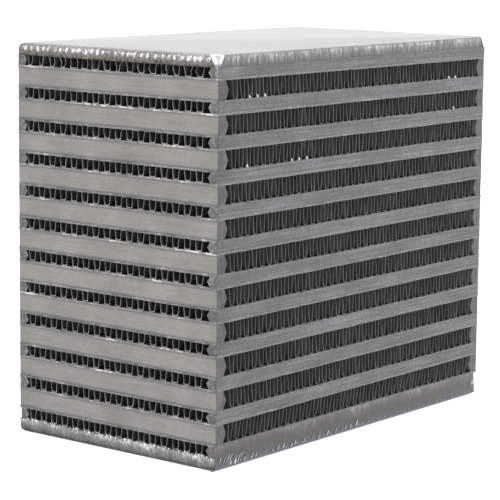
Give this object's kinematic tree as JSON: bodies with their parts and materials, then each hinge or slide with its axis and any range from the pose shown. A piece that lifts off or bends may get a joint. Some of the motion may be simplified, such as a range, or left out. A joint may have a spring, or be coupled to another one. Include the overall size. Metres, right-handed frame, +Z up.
{
  "type": "intercooler core",
  "caption": "Brazed bar-and-plate heat exchanger block with crossing rows of coolant and charge-air fins between two end plates.",
  "frame": {"origin": "middle of the underside of the bottom end plate", "axes": "+Z up through the stack of rows, X along the coolant rows (the longest side), Y along the charge-air rows (the shortest side)"},
  "size_m": [0.155, 0.0884, 0.1353],
  "materials": {
    "end_plate": "milled plate with a welded bead along its edges",
    "closing_bar": "furnace-brazed, brushed along its length",
    "charge_tube": "furnace-brazed, matt",
    "coolant_fin": "thin folded strip, as brazed",
    "charge_fin": "thin folded strip, as brazed"
  },
  "bodies": {
    "root": {"bottom_end_plate": "end_plate", "top_end_plate": "end_plate", "coolant_fin_01": "coolant_fin", "coolant_bar_front_01": "closing_bar", "coolant_bar_back_01": "closing_bar", "coolant_fin_02": "coolant_fin", "coolant_bar_front_02": "closing_bar", "coolant_bar_back_02": "closing_bar", "coolant_fin_03": "coolant_fin", "coolant_bar_front_03": "closing_bar", "coolant_bar_back_03": "closing_bar", "coolant_fin_04": "coolant_fin", "coolant_bar_front_04": "closing_bar", "coolant_bar_back_04": "closing_bar", "coolant_fin_05": "coolant_fin", "coolant_bar_front_05": "closing_bar", "coolant_bar_back_05": "closing_bar", "coolant_fin_06": "coolant_fin", "coolant_bar_front_06": "closing_bar", "coolant_bar_back_06": "closing_bar", "coolant_fin_07": "coolant_fin", "coolant_bar_front_07": "closing_bar", "coolant_bar_back_07": "closing_bar", "coolant_fin_08": "coolant_fin", "coolant_bar_front_08": "closing_bar", "coolant_bar_back_08": "closing_bar", "coolant_fin_09": "coolant_fin", "coolant_bar_front_09": "closing_bar", "coolant_bar_back_09": "closing_bar", "coolant_fin_10": "coolant_fin", "coolant_bar_front_10": "closing_bar", "coolant_bar_back_10": "closing_bar", "coolant_fin_11": "coolant_fin", "coolant_bar_front_11": "closing_bar", "coolant_bar_back_11": "closing_bar", "coolant_fin_12": "coolant_fin", "coolant_bar_front_12": "closing_bar", "coolant_bar_back_12": "closing_bar", "charge_tube_01": "charge_tube", "charge_fin_01": "charge_fin", "charge_tube_02": "charge_tube", "charge_fin_02": "charge_fin", "charge_tube_03": "charge_tube", "charge_fin_03": "charge_fin", "charge_tube_04": "charge_tube", "charge_fin_04": "charge_fin", "charge_tube_05": "charge_tube", "charge_fin_05": "charge_fin", "charge_tube_06": "charge_tube", "charge_fin_06": "charge_fin", "charge_tube_07": "charge_tube", "charge_fin_07": "charge_fin", "charge_tube_08": "charge_tube", "charge_fin_08": "charge_fin", "charge_tube_09": "charge_tube", "charge_fin_09": "charge_fin", "charge_tube_10": "charge_tube", "charge_fin_10": "charge_fin", "charge_tube_11": "charge_tube", "charge_fin_11": "charge_fin"}
  },
  "joints": []
}
